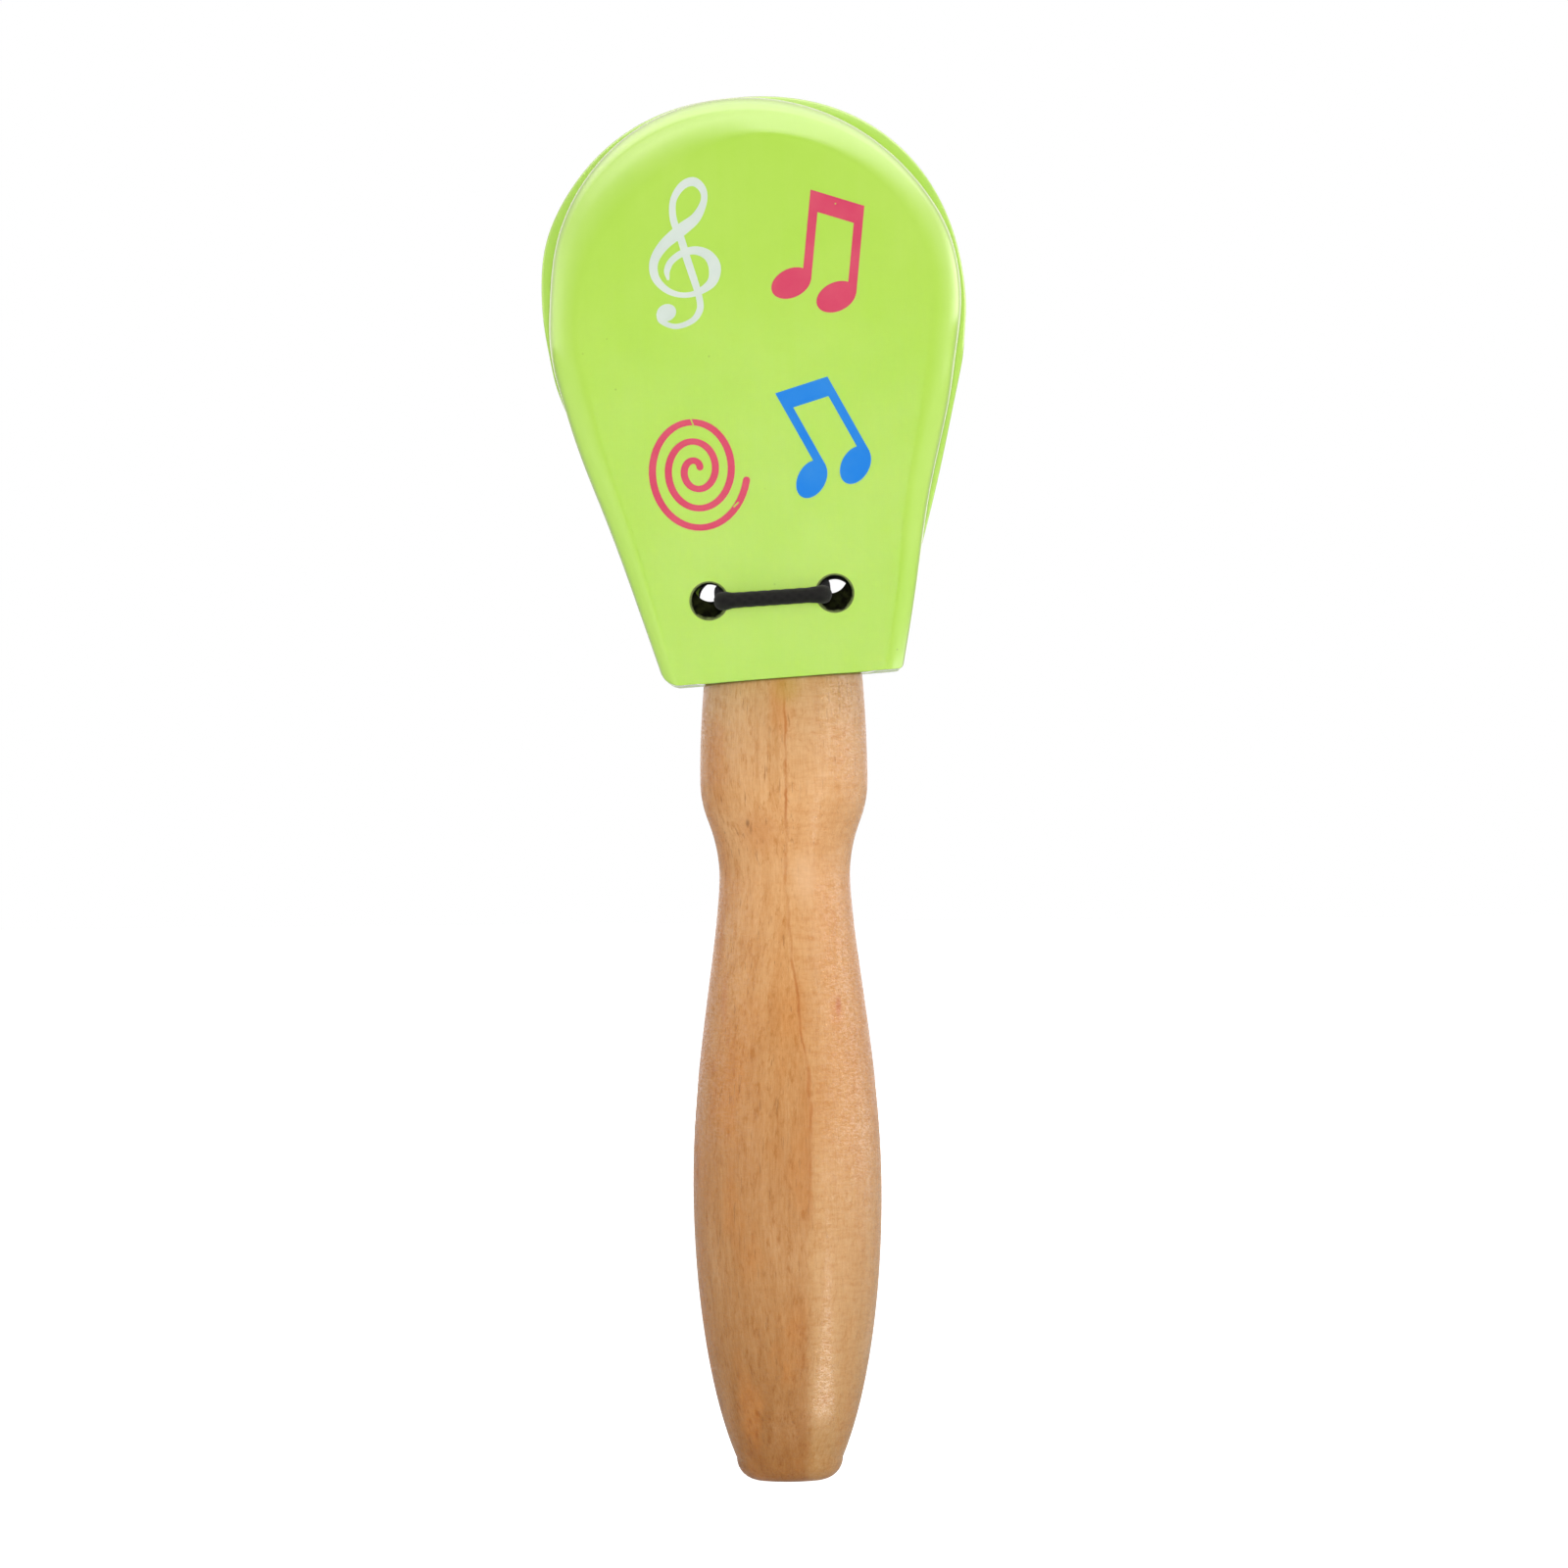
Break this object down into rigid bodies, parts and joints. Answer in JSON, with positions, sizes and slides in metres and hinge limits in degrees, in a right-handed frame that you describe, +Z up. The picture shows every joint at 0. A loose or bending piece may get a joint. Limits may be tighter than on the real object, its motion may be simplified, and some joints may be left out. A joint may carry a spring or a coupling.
{
  "type": "handle castanet",
  "caption": "Wooden handle castanet: hollowed clappers tied by an elastic cord to a paddle on a turned handle, rocking open at their feet and clacking shut.",
  "frame": {"origin": "on the handle's axis where the grip is thickest, where a hand holds it", "axes": "+Z up the handle towards the head, -Y out of the printed front clapper, +X to the right of that face"},
  "size_m": [0.056, 0.0368, 0.183],
  "materials": {
    "lacquered_wood": "satin clear lacquer over fine-grained wood",
    "green_paint": "satin lime green paint on wood",
    "black_elastic": "matt braided elastic"
  },
  "bodies": {
    "handle": {"handle": "lacquered_wood", "paddle": "green_paint", "elastic_cord": "black_elastic"},
    "front_clapper": {"front_clapper": "green_paint"},
    "rear_clapper": {"rear_clapper": "green_paint"}
  },
  "joints": [
    {"name": "front_clapper_flap", "type": "hinge", "parent": "handle", "child": "front_clapper", "pos_m": [-0.00032, -0.0105, 0.07179], "axis": [0.9977, 0, 0.068], "range_deg": [0, 20], "stiffness_Nm_per_rad": 0.03, "springref_deg": -28.65, "deforming": ["elastic_cord"]},
    {"name": "rear_clapper_flap", "type": "hinge", "parent": "handle", "child": "rear_clapper", "pos_m": [-0.00032, 0.0105, 0.07179], "axis": [-0.9977, 0, -0.068], "range_deg": [0, 20], "stiffness_Nm_per_rad": 0.03, "springref_deg": -28.65, "deforming": ["elastic_cord"]}
  ]
}
